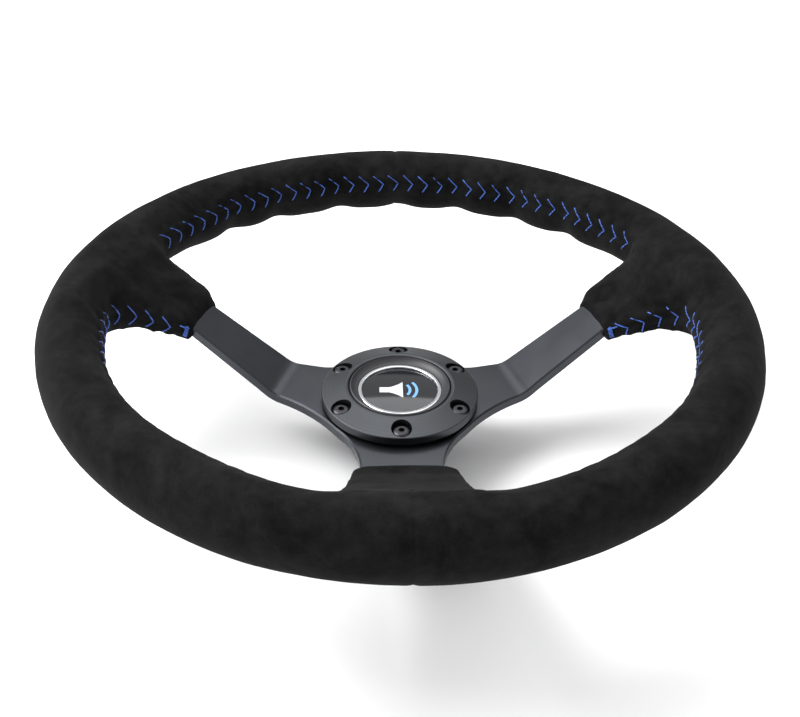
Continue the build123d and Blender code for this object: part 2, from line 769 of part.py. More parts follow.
land_start = ball_height + (ball_centre_radius + cone_offset - land_radius) / cone_slope
with BuildPart() as release_collar:
    with BuildSketch(Plane.XZ):
        with BuildLine():
            Polyline(
                (cone_radius(collar_start), collar_start),
                (collar_radius, collar_start),
                (collar_radius, collar_start + collar_lip),
                (collar_grip_radius, collar_start + collar_lip),
                (collar_grip_radius, collar_end),
                (collar_pocket_radius, collar_end),
                (collar_pocket_radius, collar_ledge_height),
                (land_radius, collar_ledge_height),
                (land_radius, land_start),
                close=True,
            )
        make_face()
    revolve(axis=Axis.Z)
    with BuildSketch(Plane.XY.offset(collar_start + collar_lip + flute_margin)):
        with PolarLocations(collar_grip_radius + flute_radius / 3, flute_count):
            Circle(flute_radius)
    extrude(amount=collar_end - collar_start - collar_lip - 2 * flute_margin, mode=Mode.SUBTRACT)
release_collar.part.label = "release_collar"
export_step(release_collar.part, "parts/release_collar.step")

# Release spring: it pushes the collar down on to the retaining ring
release_spring_base = collar_ledge_height + release_wire / 2 + spring_gap
release_spring_top = boss_base - release_wire / 2 - spring_gap
with BuildPart() as release_spring:
    with BuildLine() as release_coil:
        Helix(
            pitch=(release_spring_top - release_spring_base) / release_coils,
            height=release_spring_top - release_spring_base,
            radius=release_coil_radius,
            center=(0, 0, release_spring_base),
        )
    with BuildSketch(Plane(origin=release_coil.line @ 0, z_dir=release_coil.line % 0)):
        Circle(release_wire / 2)
    sweep()
release_spring.part.label = "release_spring"
export_step(release_spring.part, "parts/release_spring.step")

# Circlip: an open ring in the neck's groove, the stop under the collar
with BuildPart() as collar_circlip:
    with BuildSketch(Plane.XY.offset(ring_groove_start + ring_clearance)):
        Circle(neck_radius + ring_width)
        Circle(groove_radius + ring_clearance, mode=Mode.SUBTRACT)
        with Locations((0, -groove_radius)):
            Rectangle(ring_opening, groove_radius, mode=Mode.SUBTRACT)
    extrude(amount=ring_groove_width - 2 * ring_clearance)
collar_circlip.part.label = "collar_circlip"
export_step(collar_circlip.part, "parts/collar_circlip.step")
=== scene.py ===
"""A three-spoke dished steering wheel in black suede, with a horn button and a ball-lock quick release."""
from math import cos, pi, radians, sin

import bpy
import numpy as np
from mathutils import Matrix, Vector, noise
from mathutils.bvhtree import BVHTree


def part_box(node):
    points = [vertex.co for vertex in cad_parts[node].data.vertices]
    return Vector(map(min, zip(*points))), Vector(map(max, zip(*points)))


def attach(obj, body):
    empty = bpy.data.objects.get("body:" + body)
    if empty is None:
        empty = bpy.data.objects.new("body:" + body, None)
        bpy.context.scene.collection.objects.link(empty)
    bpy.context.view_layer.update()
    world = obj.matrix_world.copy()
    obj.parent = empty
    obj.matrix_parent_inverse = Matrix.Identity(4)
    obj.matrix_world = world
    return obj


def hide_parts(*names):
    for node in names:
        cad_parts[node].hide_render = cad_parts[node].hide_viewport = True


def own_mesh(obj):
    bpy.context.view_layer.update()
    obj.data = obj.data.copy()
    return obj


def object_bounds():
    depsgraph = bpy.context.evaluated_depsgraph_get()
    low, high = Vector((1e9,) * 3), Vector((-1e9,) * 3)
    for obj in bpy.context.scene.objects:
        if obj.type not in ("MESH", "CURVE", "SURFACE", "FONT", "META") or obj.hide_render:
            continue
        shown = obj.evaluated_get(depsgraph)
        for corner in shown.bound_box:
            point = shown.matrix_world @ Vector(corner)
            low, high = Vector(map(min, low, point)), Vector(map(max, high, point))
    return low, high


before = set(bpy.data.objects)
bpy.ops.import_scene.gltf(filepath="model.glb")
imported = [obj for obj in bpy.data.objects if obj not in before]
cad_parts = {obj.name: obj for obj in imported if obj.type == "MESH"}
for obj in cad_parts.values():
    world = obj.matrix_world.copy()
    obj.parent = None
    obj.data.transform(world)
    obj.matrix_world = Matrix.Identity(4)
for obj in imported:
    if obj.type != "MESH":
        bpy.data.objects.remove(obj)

bpy.ops.object.select_all(action="DESELECT")
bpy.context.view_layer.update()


# Spoke plate: one 5 mm sheet of aluminium, cut out, pressed to a dish, bead blasted and anodised black.
# Blasting leaves an even satin grain, and the dyed oxide over it is a soft near-black grey.
mm = 0.001


def to_linear(code):
    """Linear colour for a shader from sRGB hex digits."""
    parts = [int(code[i:i + 2], 16) / 255 for i in (0, 2, 4)]
    return (*[c / 12.92 if c <= 0.04045 else ((c + 0.055) / 1.055) ** 2.4 for c in parts], 1.0)


def new_material(name, **constants):
    """A material with one Principled shader and its constants, named as the shader's sockets are."""
    material = bpy.data.materials.new(name)
    material.use_nodes = True
    shader = material.node_tree.nodes["Principled BSDF"]
    for socket, value in constants.items():
        shader.inputs[socket.replace("_", " ").title().replace("Ior", "IOR")].default_value = value
    return material, shader


def add_node(material, kind, inputs, **settings):
    """One shader node. An input's value is a number, a colour or another node's output."""
    node = material.node_tree.nodes.new(kind)
    for name, value in settings.items():
        setattr(node, name, value)
    for name, value in inputs.items():
        if isinstance(value, bpy.types.NodeSocket):
            material.node_tree.links.new(value, node.inputs[name])
        else:
            node.inputs[name].default_value = value
    return node


def drive(material, shader, socket, output):
    """Link a node's output to a socket of the shader."""
    material.node_tree.links.new(output, shader.inputs[socket])


def dress(material, *nodes):
    """Give CAD nodes their finish."""
    for name in nodes:
        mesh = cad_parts[name].data
        mesh.materials.clear()
        mesh.materials.append(material)


blasted_anodised, shader = new_material("bead_blasted_black_anodised_aluminium", metallic=1.0, roughness=0.42)
place = add_node(blasted_anodised, "ShaderNodeTexCoord", {})
# grit of 0.1 mm, drawn at 0.5 mm so that it shows
grit = add_node(blasted_anodised, "ShaderNodeTexNoise",
                {"Vector": place.outputs["Object"], "Scale": 1 / (0.5 * mm), "Detail": 2.0})
cloud = add_node(blasted_anodised, "ShaderNodeTexNoise",
                 {"Vector": place.outputs["Object"], "Scale": 1 / (22 * mm), "Detail": 5.0})
tone = add_node(blasted_anodised, "ShaderNodeMix",
                {0: cloud.outputs["Fac"], 6: to_linear("3b3d41"), 7: to_linear("47494d")}, data_type="RGBA")
drive(blasted_anodised, shader, "Base Color", tone.outputs[2])
rubbed = add_node(blasted_anodised, "ShaderNodeMapRange",
                  {"Value": cloud.outputs["Fac"], "To Min": 0.28, "To Max": 0.4})
drive(blasted_anodised, shader, "Roughness", rubbed.outputs["Result"])
grain = add_node(blasted_anodised, "ShaderNodeBump",
                 {"Height": grit.outputs["Fac"], "Strength": 0.25, "Distance": 0.05 * mm})
drive(blasted_anodised, shader, "Normal", grain.outputs["Normal"])
dress(blasted_anodised, "spoke_frame")


# Grip form: an oval torus round the plate's band, with a padded tongue down each spoke.
# The foam and the suede cover are both shaped from it.
grip_half_width = 15.25 * mm
grip_half_height = 18 * mm
plate_half = 2.5 * mm
cover_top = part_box("grip_cover_right")[1]
rim_radius = cover_top.x - grip_half_width
rim_height = cover_top.z - grip_half_height
rim_inside = rim_radius - grip_half_width
hub_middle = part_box("spoke_frame")[0].z + plate_half
bend_start = 65.6 * mm
bend_end = rim_radius - 13.7 * mm
side_spoke_angle = radians(17)
rise = (rim_height - hub_middle) / (bend_end - bend_start)


def mid_height(distance):
    """Height of the spoke plate's middle at a distance from the axis."""
    return hub_middle + rise * (min(max(distance, bend_start), bend_end) - bend_start)


def drawn_out(name, spoke_angle, stations):
    """A closed box section drawn out along a spoke. Station: distance, two edges, half thickness."""
    centres = [Vector((s, (low + high) / 2, mid_height(s))) for s, low, high, _ in stations]
    bpy.ops.mesh.primitive_plane_add(size=1, rotation=(0, pi / 2, 0), location=centres[0])
    piece = bpy.context.object
    piece.name = name
    bpy.ops.object.mode_set(mode="EDIT")
    bpy.ops.transform.resize(value=(1, stations[0][2] - stations[0][1], 2 * stations[0][3]))
    for here, there, start, end in zip(stations, stations[1:], centres, centres[1:]):
        wider = (there[2] - there[1]) / (here[2] - here[1])
        bpy.ops.mesh.extrude_region_move(TRANSFORM_OT_translate={"value": end - start})
        bpy.ops.transform.resize(value=(1, wider, there[3] / here[3]), center_override=end)
    bpy.ops.object.mode_set(mode="OBJECT")
    bpy.ops.object.transform_apply()
    piece.rotation_euler.z = spoke_angle
    bpy.ops.object.transform_apply()
    return piece


side_stations = [
    (109.0, -14.5, 13.5, 4.2),
    (110.5, -16.8, 17.0, 5.2),
    (114.5, -20.3, 20.2, 5.7),
    (120.0, -24.6, 21.6, 6.0),
    (126.5, -28.4, 21.6, 6.3),
    (132.5, -33.0, 20.8, 7.4),
    (137.0, -40.5, 20.4, 9.0),
    (143.0, -47.0, 20.2, 11.5),
    (160.0, -49.0, 20.0, 12.5),
]
lower_stations = [
    (54.5, -20.0, 20.5, 4.2),
    (56.5, -23.0, 25.0, 5.2),
    (60.0, -25.2, 28.4, 5.7),
    (65.6, -26.6, 30.0, 5.8),
    (78.0, -28.0, 30.4, 5.9),
    (98.0, -29.5, 31.0, 6.0),
    (124.0, -32.5, 33.0, 7.2),
    (137.0, -36.0, 36.0, 9.0),
    (145.0, -40.0, 40.0, 11.5),
    (160.0, -42.0, 42.0, 12.5),
]
# the folded hem that stands proud at a side sleeve's upper corner
hem_stations = [
    (106.8, 12.4, 15.6, 3.8),
    (113.0, 12.0, 16.6, 4.6),
]
hem_stations = [tuple(value * mm for value in station) for station in hem_stations]
side_stations = [tuple(value * mm for value in station) for station in side_stations]
lower_stations = [tuple(value * mm for value in station) for station in lower_stations]
mirrored = [(s, -high, -low, half) for s, low, high, half in side_stations]
mirrored_hem = [(s, -high, -low, half) for s, low, high, half in hem_stations]

bpy.ops.mesh.primitive_torus_add(location=(0, 0, rim_height), major_radius=rim_radius,
                                 minor_radius=grip_half_width, major_segments=240, minor_segments=36)
grip_form = bpy.context.object
grip_form.name = "grip_form"
bpy.ops.object.mode_set(mode="EDIT")
bpy.ops.transform.resize(value=(1, 1, grip_half_height / grip_half_width),
                         center_override=(0, 0, rim_height))
bpy.ops.object.mode_set(mode="OBJECT")
bpy.ops.object.transform_apply()
tongues = [
    drawn_out("tongue_right", side_spoke_angle, side_stations),
    drawn_out("tongue_left", pi - side_spoke_angle, mirrored),
    drawn_out("tongue_lower", -pi / 2, lower_stations),
    drawn_out("hem_right", side_spoke_angle, hem_stations),
    drawn_out("hem_left", pi - side_spoke_angle, mirrored_hem),
]
for tongue in tongues:
    tongue.select_set(True)
grip_form.select_set(True)
bpy.context.view_layer.objects.active = grip_form
bpy.ops.object.join()


def finish_with(piece, kind, **settings):
    """Add a modifier to a piece and apply it."""
    bpy.ops.object.select_all(action="DESELECT")
    piece.select_set(True)
    bpy.context.view_layer.objects.active = piece
    modifier = piece.modifiers.new(kind.title(), kind)
    for name, value in settings.items():
        setattr(modifier, name, value)
    bpy.ops.object.modifier_apply(modifier=modifier.name)


skin_voxel = 2.7 * mm
skin_smoothing = 9
finish_with(grip_form, "REMESH", mode="VOXEL", voxel_size=skin_voxel, use_smooth_shade=True)
finish_with(grip_form, "SMOOTH", factor=0.5, iterations=skin_smoothing)


# Finger grips: the grip's upper arc is moulded with narrow notches between broad lobes for the fingers,
# on its inner and back side. The form takes them, so the foam and the cover both have them.
finger_gaps = (130.2, 118.4, 103.1, 89.1, 75.7, 61.4, 48.1)
gap_depth = 2.5 * mm
lobe_swell = 0.7 * mm
gap_spread = 2.1
lobe_from, lobe_to, lobe_fade = 39.0, 140.0, 1.2
facing_back_and_in, lobe_spread = 222.0, 42.0


def vertex_places(piece):
    """All vertices of a piece as an array."""
    places = np.empty(len(piece.data.vertices) * 3)
    piece.data.vertices.foreach_get("co", places)
    return places.reshape(-1, 3)


def vertex_normals(piece):
    """All vertex normals of a piece as an array."""
    normals = np.empty(len(piece.data.vertices) * 3)
    piece.data.vertex_normals.foreach_get("vector", normals)
    return normals.reshape(-1, 3)


def move_vertices(piece, places):
    """Put the vertices of a piece at these places."""
    piece.data.vertices.foreach_set("co", places.ravel())
    piece.data.update()


def bell(offset, spread):
    """A smooth bump of height 1."""
    return np.exp(-0.5 * (offset / spread) ** 2)


places, out = vertex_places(grip_form), vertex_normals(grip_form)
clock = np.degrees(np.arctan2(places[:, 1], places[:, 0]))
reach = np.hypot(places[:, 0], places[:, 1]) - rim_radius
section = np.degrees(np.arctan2(places[:, 2] - rim_height, reach)) % 360
on_arc = 1 / (1 + np.exp(-(clock - lobe_from) / lobe_fade)) / (1 + np.exp((clock - lobe_to) / lobe_fade))
gaps = sum(bell(clock - gap, gap_spread) for gap in finger_gaps)
depth = ((lobe_swell - (gap_depth + lobe_swell) * gaps) * on_arc
         * bell(section - facing_back_and_in, lobe_spread))
move_vertices(grip_form, places + out * depth[:, None])


# Foam grip: self-skinning polyurethane moulded on the band and the spokes' outer ends, hidden by the cover.
# Its skin is dull black and finely pitted.
def copy_of(piece, name):
    """A copy of a piece with its own mesh."""
    twin = piece.copy()
    twin.data = piece.data.copy()
    twin.name = name
    bpy.context.scene.collection.objects.link(twin)
    return twin


def settle(piece, material, body="wheel"):
    """Give a finished piece its material, and let it ride on a body."""
    piece.data.materials.clear()
    piece.data.materials.append(material)
    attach(piece, body)


foam_skin, shader = new_material("self_skinning_polyurethane_foam", roughness=0.85)
place = add_node(foam_skin, "ShaderNodeTexCoord", {})
# pores of 0.3 mm, drawn at 1.2 mm so that they show
pits = add_node(foam_skin, "ShaderNodeTexVoronoi",
                {"Vector": place.outputs["Object"], "Scale": 1 / (1.2 * mm)})
tone = add_node(foam_skin, "ShaderNodeMix",
                {0: pits.outputs["Distance"], 6: to_linear("141414"), 7: to_linear("262626")},
                data_type="RGBA")
drive(foam_skin, shader, "Base Color", tone.outputs[2])
pitted = add_node(foam_skin, "ShaderNodeBump",
                  {"Height": pits.outputs["Distance"], "Strength": 0.5, "Distance": 0.2 * mm})
drive(foam_skin, shader, "Normal", pitted.outputs["Normal"])
foam_depth = 2.6 * mm
foam_voxel = 1.8 * skin_voxel
foam = copy_of(grip_form, "grip_foam_core")
finish_with(foam, "REMESH", mode="VOXEL", voxel_size=foam_voxel, use_smooth_shade=True)
finish_with(foam, "DISPLACE", direction="NORMAL", mid_level=0.0, strength=-foam_depth)
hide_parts("grip_foam")
settle(foam, foam_skin)


# Suede cover: two halves of black suede, glued round the foam, folded in at the tongues' ends and laced
# along the inside of the grip. Each stitch pulls the suede in, and it stands up a little in between.
pull_cap = 1.0 * mm
cloth_pressure, cloth_steps = 4, 20
cover = copy_of(grip_form, "grip_cover")
before, out = vertex_places(cover), vertex_normals(cover)
cloth = cover.modifiers.new("Cloth", "CLOTH")
cloth.settings.use_pressure = True
cloth.settings.uniform_pressure_force = cloth_pressure
cloth.settings.effector_weights.gravity = 0
for step in range(1, cloth_steps + 1):
    bpy.context.scene.frame_set(step)
bpy.ops.object.select_all(action="DESELECT")
cover.select_set(True)
bpy.context.view_layer.objects.active = cover
bpy.ops.object.modifier_apply(modifier="Cloth")
bpy.context.scene.frame_set(1)
pull = vertex_places(cover) - before
length = np.linalg.norm(pull, axis=1, keepdims=True)
pull *= np.minimum(1, pull_cap / np.maximum(length, 1e-9))
pull -= out * np.median((pull * out).sum(1))
move_vertices(cover, before + pull)
finish_with(cover, "SUBSURF", levels=1, render_levels=1)

# the seam's line, found by looking outwards at the cover from points inside the openings
stitch_pitch = 9 * mm
marks_per_stitch, end_marks, marks_past_knot = 9, 4, 10
ray_steps, smoothing_rounds = 300, 12
follow_rounds, follow_rate = 5, 0.6
seam_above_middle = 3 * mm
lower_seam_above_middle = 0.5 * mm
sleeve_seam_above_middle = 1.5 * mm
sleeve_offset, rim_offset = 36 * mm, 56 * mm
skin = BVHTree.FromPolygons([v.co for v in cover.data.vertices], [p.vertices for p in cover.data.polygons])


def seam_height(point):
    """Height of the seam near a point: on the spokes' sleeves it follows the plate, elsewhere the rim."""
    across, up = abs(point.x), point.y
    along_side = across * cos(side_spoke_angle) + up * sin(side_spoke_angle)
    off_side = abs(up * cos(side_spoke_angle) - across * sin(side_spoke_angle))
    off, along = min((off_side, along_side), (across if up < 0 else rim_offset, -up))
    on_rim = min(max((off - sleeve_offset) / (rim_offset - sleeve_offset), 0), 1)
    on_sleeve = mid_height(along) + sleeve_seam_above_middle
    return on_sleeve + (rim_height + lower_seam_above_middle - on_sleeve) * on_rim


def seam_line(centre, first, last, follow_sleeves):
    """Points of the seam at the stitches' pitch, from one bearing to another round a centre."""
    line, height = [], rim_height + seam_above_middle
    if follow_sleeves:
        height = mid_height(side_stations[0][0]) + sleeve_seam_above_middle
    for step in range(ray_steps + 1):
        bearing = radians(first + (last - first) * step / ray_steps)
        for _ in range(follow_rounds if follow_sleeves else 1):
            hit = skin.ray_cast(Vector((*centre, height)), Vector((cos(bearing), sin(bearing), 0)))[0]
            if follow_sleeves:
                height += follow_rate * (seam_height(hit) - height)
        line.append(np.array(hit))
    line = np.array(line)
    for _ in range(smoothing_rounds):
        line[1:-1] = 0.25 * line[:-2] + 0.5 * line[1:-1] + 0.25 * line[2:]
    run = np.concatenate([[0], np.cumsum(np.linalg.norm(np.diff(line, axis=0), axis=1))])
    count = int(run[-1] / stitch_pitch)
    marks = np.linspace(0, run[-1], count * marks_per_stitch + 1)
    return np.stack([np.interp(marks, run, line[:, axis]) for axis in range(3)], axis=1)


# (line, which way its stitches point along it, whether a knot closes its start)
seam_runs = [
    (seam_line((0, 0), 152, 26.5, False), 1, False),
    (seam_line((-80 * mm, -55 * mm), 113, 290, True), -1, True),
    (seam_line((80 * mm, -55 * mm), 67, -110, True), 1, True),
]
stitches, knots = [], []
for line, way, knotted in seam_runs:
    for mark in range(marks_past_knot if knotted else end_marks, len(line) - end_marks, marks_per_stitch):
        at, normal, _, _ = skin.find_nearest(Vector(line[mark]))
        along = (Vector(line[mark + 3]) - Vector(line[mark - 3])).normalized() * way
        across = normal.cross(along).normalized()
        across = -across if across.z < 0 else across
        stitches.append((at, along, across))
    if knotted:
        at, normal, _, _ = skin.find_nearest(Vector(line[1]))
        along = (Vector(line[4]) - Vector(line[0])).normalized()
        across = normal.cross(along).normalized()
        knots.append((at, along, -across if across.z < 0 else across))

# the cover's relief: the seam's valley, the pillows beside it, and each stitch's two holes with their puckers
valley_depth, valley_spread = 0.9 * mm, 1.3 * mm
pillow_height, pillow_place, pillow_spread = 0.35 * mm, 4.6 * mm, 1.9 * mm
upper_hole, lower_hole = (-5.4 * mm, 5.6 * mm), (-2.6 * mm, -4.6 * mm)
hole_depth, hole_spread = 0.65 * mm, 1.5 * mm
pucker_depth, pucker_length, pucker_spread = 0.45 * mm, 3.4 * mm, 1.35 * mm
pucker_lead, pucker_lean = 0.3, 0.25
pull_reach = 18 * mm
# (hole, its side of the seam, its depth and its pucker's depth)
stitch_holes = [
    (upper_hole, 1, hole_depth, pucker_depth),
    (lower_hole, -1, 0.2 * mm, 0.1 * mm),
]
wrap_depth, wrap_scale = 0.35 * mm, 27 * mm
fine_wrap_depth, fine_wrap_scale = 0.3 * wrap_depth, 9 * mm
cross_seam_depth, cross_seam_spread = 0.45 * mm, 0.9 * mm
places, out = vertex_places(cover), vertex_normals(cover)
relief = np.zeros(len(places))
for line, _, _ in seam_runs:
    reach = np.full(len(places), 1.0)
    near = np.hypot(places[:, 0], places[:, 1]) < rim_radius
    for point in line[::2]:
        reach[near] = np.minimum(reach[near], np.linalg.norm(places[near] - point, axis=1))
    relief += (pillow_height * bell(reach - pillow_place, pillow_spread)
               - valley_depth * bell(reach, valley_spread))
for at, along, across in stitches:
    offset = places - np.array(at)
    near = (offset ** 2).sum(1) < pull_reach ** 2
    u, v = offset[near] @ np.array(along), offset[near] @ np.array(across)
    for (hole_u, hole_v), side, hole, pucker in stitch_holes:
        away = (v - hole_v) * side
        relief[near] -= hole * bell(np.hypot(u - hole_u, v - hole_v), hole_spread)
        tail = np.where(away > 0, bell(away, pucker_length), bell(away, pucker_lead * pucker_length))
        relief[near] -= pucker * tail * bell(u - hole_u + pucker_lean * away, pucker_spread)
for index, spot in enumerate(places):
    relief[index] += wrap_depth * noise.noise(Vector(spot) / wrap_scale)
    relief[index] += fine_wrap_depth * noise.noise(Vector(spot) / fine_wrap_scale)
cross_seam = bell(places[:, 0], cross_seam_spread) * cross_seam_depth
cross_seam[(np.hypot(places[:, 0], places[:, 1]) < rim_inside) & (places[:, 1] < 0)] = 0
move_vertices(cover, places + out * (relief - cross_seam)[:, None])

# dyed split hide with a standing nap: near-black and matt, cloudy where a hand has turned the nap
suede, shader = new_material("black_suede_with_a_brushed_nap", sheen_weight=0.09, sheen_roughness=0.45,
                             sheen_tint=to_linear("77787c"), specular_ior_level=0.05, ior=1.5)
place = add_node(suede, "ShaderNodeTexCoord", {})
hand = add_node(suede, "ShaderNodeTexNoise",
                {"Vector": place.outputs["Object"], "Scale": 1 / (24 * mm), "Detail": 4.0, "Roughness": 0.62,
                 "Distortion": 0.8})
fingers = add_node(suede, "ShaderNodeTexNoise",
                   {"Vector": place.outputs["Object"], "Scale": 1 / (6 * mm), "Detail": 3.0,
                    "Roughness": 0.6})
both = add_node(suede, "ShaderNodeMix", {0: 0.38, 2: hand.outputs["Fac"], 3: fingers.outputs["Fac"]})
nap = add_node(suede, "ShaderNodeMapRange",
               {"Value": both.outputs[0], "From Min": 0.36, "From Max": 0.66, "To Min": 0.0, "To Max": 1.0})
tone = add_node(suede, "ShaderNodeMix",
                {0: nap.outputs["Result"], 6: to_linear("0a0a0b"), 7: to_linear("1d1d1d")}, data_type="RGBA")
# single fibres are 0.03 mm, drawn as tufts of 0.45 mm so that they show
tufts = add_node(suede, "ShaderNodeTexNoise",
                 {"Vector": place.outputs["Object"], "Scale": 1 / (0.45 * mm), "Detail": 3.0,
                  "Roughness": 0.7})
lit = add_node(suede, "ShaderNodeMapRange",
               {"Value": tufts.outputs["Fac"], "From Min": 0.3, "From Max": 0.7, "To Min": 0.72,
                "To Max": 1.32})
speckled = add_node(suede, "ShaderNodeMix", {0: 1.0, 6: tone.outputs[2], 7: lit.outputs["Result"]},
                    data_type="RGBA", blend_type="MULTIPLY")
drive(suede, shader, "Base Color", speckled.outputs[2])
matt = add_node(suede, "ShaderNodeMapRange",
                {"Value": nap.outputs["Result"], "To Min": 0.86, "To Max": 0.98})
drive(suede, shader, "Roughness", matt.outputs["Result"])
fibres = add_node(suede, "ShaderNodeBump",
                  {"Height": tufts.outputs["Fac"], "Strength": 0.6, "Distance": 0.25 * mm})
drive(suede, shader, "Normal", fibres.outputs["Normal"])

suede_thickness = 1.2 * mm
for side, name, keep_positive in (("right", "suede_cover_right", True), ("left", "suede_cover_left", False)):
    half = copy_of(cover, name)
    bpy.ops.object.select_all(action="DESELECT")
    half.select_set(True)
    bpy.context.view_layer.objects.active = half
    bpy.ops.object.mode_set(mode="EDIT")
    bpy.ops.mesh.select_all(action="SELECT")
    bpy.ops.mesh.bisect(plane_co=(0, 0, 0), plane_no=(1, 0, 0),
                        clear_inner=keep_positive, clear_outer=not keep_positive)
    bpy.ops.object.mode_set(mode="OBJECT")
    finish_with(half, "SOLIDIFY", thickness=suede_thickness, offset=-1.0, use_rim=True)
    bpy.ops.object.shade_smooth_by_angle(angle=radians(50))
    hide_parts("grip_cover_" + side)
    settle(half, suede)
bpy.data.objects.remove(cover)
bpy.data.objects.remove(grip_form)


# Lacing: one bright blue polyester thread per opening, sewn through both edges of the cover in a run of
# chevrons and finished with a small wound knot where the sleeve starts.
thread_radius = 0.37 * mm
thread_arch = 0.3 * mm
thread_sink = 0.3 * mm
thread_sides, leg_overrun = 7, 1.08
apex_lead = 0.3 * mm
bpy.ops.object.select_all(action="DESELECT")
bpy.ops.mesh.primitive_circle_add(vertices=thread_sides, radius=thread_radius, fill_type="NGON",
                                  rotation=(0, pi / 2, 0), location=(-0.5, 0, 0))
leg = bpy.context.object
leg.name = "thread_leg"
bpy.ops.object.transform_apply()
bpy.ops.object.mode_set(mode="EDIT")
leg_parts = 6
for _ in range(leg_parts):
    bpy.ops.mesh.extrude_region_move(TRANSFORM_OT_translate={"value": (1 / leg_parts, 0, 0)})
bpy.ops.mesh.select_all(action="SELECT")
bpy.ops.mesh.normals_make_consistent(inside=False)
bpy.ops.object.mode_set(mode="OBJECT")
leg_shape = vertex_places(leg)


def lay_leg(start, end, arch=thread_arch):
    """A copy of the thread's leg from one hole to another, arched over the suede, its ends sunk in."""
    piece = copy_of(leg, "thread_leg")
    first, up_first, _, _ = skin_now.find_nearest(start)
    last, up_last, _, _ = skin_now.find_nearest(end)
    up = (up_first + up_last).normalized()
    along = last - first
    side = up.cross(along).normalized()
    bulge = 1 - (2 * leg_shape[:, 0]) ** 2
    lift = thread_arch + thread_sink + arch
    spots = (np.array((first + last) / 2) + leg_shape[:, :1] * np.array(along) * leg_overrun
             + leg_shape[:, 1:2] * np.array(side)
             + (leg_shape[:, 2] - thread_sink + lift * bulge)[:, None] * np.array(up))
    move_vertices(piece, spots)
    return piece


halves = [bpy.data.objects[name].data for name in ("suede_cover_left", "suede_cover_right")]
corners, faces = [], []
for mesh in halves:
    faces += [[index + len(corners) for index in face.vertices] for face in mesh.polygons]
    corners += [vertex.co.copy() for vertex in mesh.vertices]
skin_now = BVHTree.FromPolygons(corners, faces)
legs = []
for at, along, across in stitches:
    apex = at + along * apex_lead
    legs.append(lay_leg(at + along * upper_hole[0] + across * upper_hole[1], apex))
    legs.append(lay_leg(at + along * lower_hole[0] + across * lower_hole[1], apex))
# (start and end of each turn of the knot: along and across the seam, and its height)
knot_turns = [(-0.9, -3.0, -0.6, 2.6, 0.25), (-0.1, -3.1, 0.2, 2.8, 0.35), (0.7, -2.8, 1.0, 2.5, 0.3),
              (-1.6, 1.6, 4.2, 2.4, 0.5)]
for at, along, across in knots:
    for start_u, start_v, end_u, end_v, height in knot_turns:
        legs.append(lay_leg(at + (along * start_u + across * start_v) * mm,
                            at + (along * end_u + across * end_v) * mm, height * mm))
bpy.data.objects.remove(leg)
bpy.ops.object.select_all(action="DESELECT")
for piece in legs:
    piece.select_set(True)
bpy.context.view_layer.objects.active = legs[0]
bpy.ops.object.join()
lacing = legs[0]
lacing.name = "blue_lacing"
bpy.ops.object.shade_smooth_by_angle(angle=radians(60))
# three-ply twisted polyester: a soft satin, with painted shade in the grooves between its plies
thread, shader = new_material("twisted_polyester_thread", sheen_weight=0.3, sheen_roughness=0.4, ior=1.5)
place = add_node(thread, "ShaderNodeTexCoord", {})
# plies turn every 0.8 mm, drawn at 1.1 mm so that they show
plies = add_node(thread, "ShaderNodeTexWave",
                 {"Vector": place.outputs["Object"], "Scale": 0.31 / (1.1 * mm), "Distortion": 1.5,
                  "Detail": 2.0},
                 bands_direction="DIAGONAL")
# the colour follows the ply pattern: its darker blue is painted shade in the grooves between the plies
tone = add_node(thread, "ShaderNodeMix",
                {0: plies.outputs["Fac"], 6: to_linear("193a82"), 7: to_linear("3365c6")}, data_type="RGBA")
drive(thread, shader, "Base Color", tone.outputs[2])
soft = add_node(thread, "ShaderNodeMapRange",
                {"Value": plies.outputs["Fac"], "To Min": 0.62, "To Max": 0.5})
drive(thread, shader, "Roughness", soft.outputs["Result"])
twist = add_node(thread, "ShaderNodeBump",
                 {"Height": plies.outputs["Fac"], "Strength": 0.5, "Distance": 0.15 * mm})
drive(thread, shader, "Normal", twist.outputs["Normal"])
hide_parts("seam_thread")
settle(lacing, thread)


# Spacer ring: a flat washer of black rubber, cut from sheet and clamped by the six hub screws.
# It fills the gap between the hub plate and the trim ring, and has a dull bloom.
rubber, shader = new_material("moulded_black_rubber", ior=1.5)
place = add_node(rubber, "ShaderNodeTexCoord", {})
bloom = add_node(rubber, "ShaderNodeTexNoise",
                 {"Vector": place.outputs["Object"], "Scale": 1 / (5 * mm), "Detail": 4.0})
tone = add_node(rubber, "ShaderNodeMix",
                {0: bloom.outputs["Fac"], 6: to_linear("121213"), 7: to_linear("1f1f21")}, data_type="RGBA")
drive(rubber, shader, "Base Color", tone.outputs[2])
dull = add_node(rubber, "ShaderNodeMapRange",
                {"Value": bloom.outputs["Fac"], "To Min": 0.6, "To Max": 0.85})
drive(rubber, shader, "Roughness", dull.outputs["Result"])
skin_grain = add_node(rubber, "ShaderNodeBump",
                      {"Height": bloom.outputs["Fac"], "Strength": 0.2, "Distance": 0.1 * mm})
drive(rubber, shader, "Normal", skin_grain.outputs["Normal"])
dress(rubber, "spacer_ring")


# Trim ring and quick-release hub: turned aluminium, anodised black. The tool leaves fine rings round the
# axis, and they catch the light as a soft fan.
turned, shader = new_material("turned_black_anodised_aluminium", metallic=1.0, anisotropic=0.35)
place = add_node(turned, "ShaderNodeTexCoord", {})
apart = add_node(turned, "ShaderNodeSeparateXYZ", {"Vector": place.outputs["Object"]})
flat = add_node(turned, "ShaderNodeCombineXYZ", {"X": apart.outputs["X"], "Y": apart.outputs["Y"]})
radius = add_node(turned, "ShaderNodeVectorMath", {0: flat.outputs["Vector"]}, operation="LENGTH")
tool_path = add_node(turned, "ShaderNodeMath",
                     {0: radius.outputs["Value"], 1: apart.outputs["Z"]}, operation="ADD")
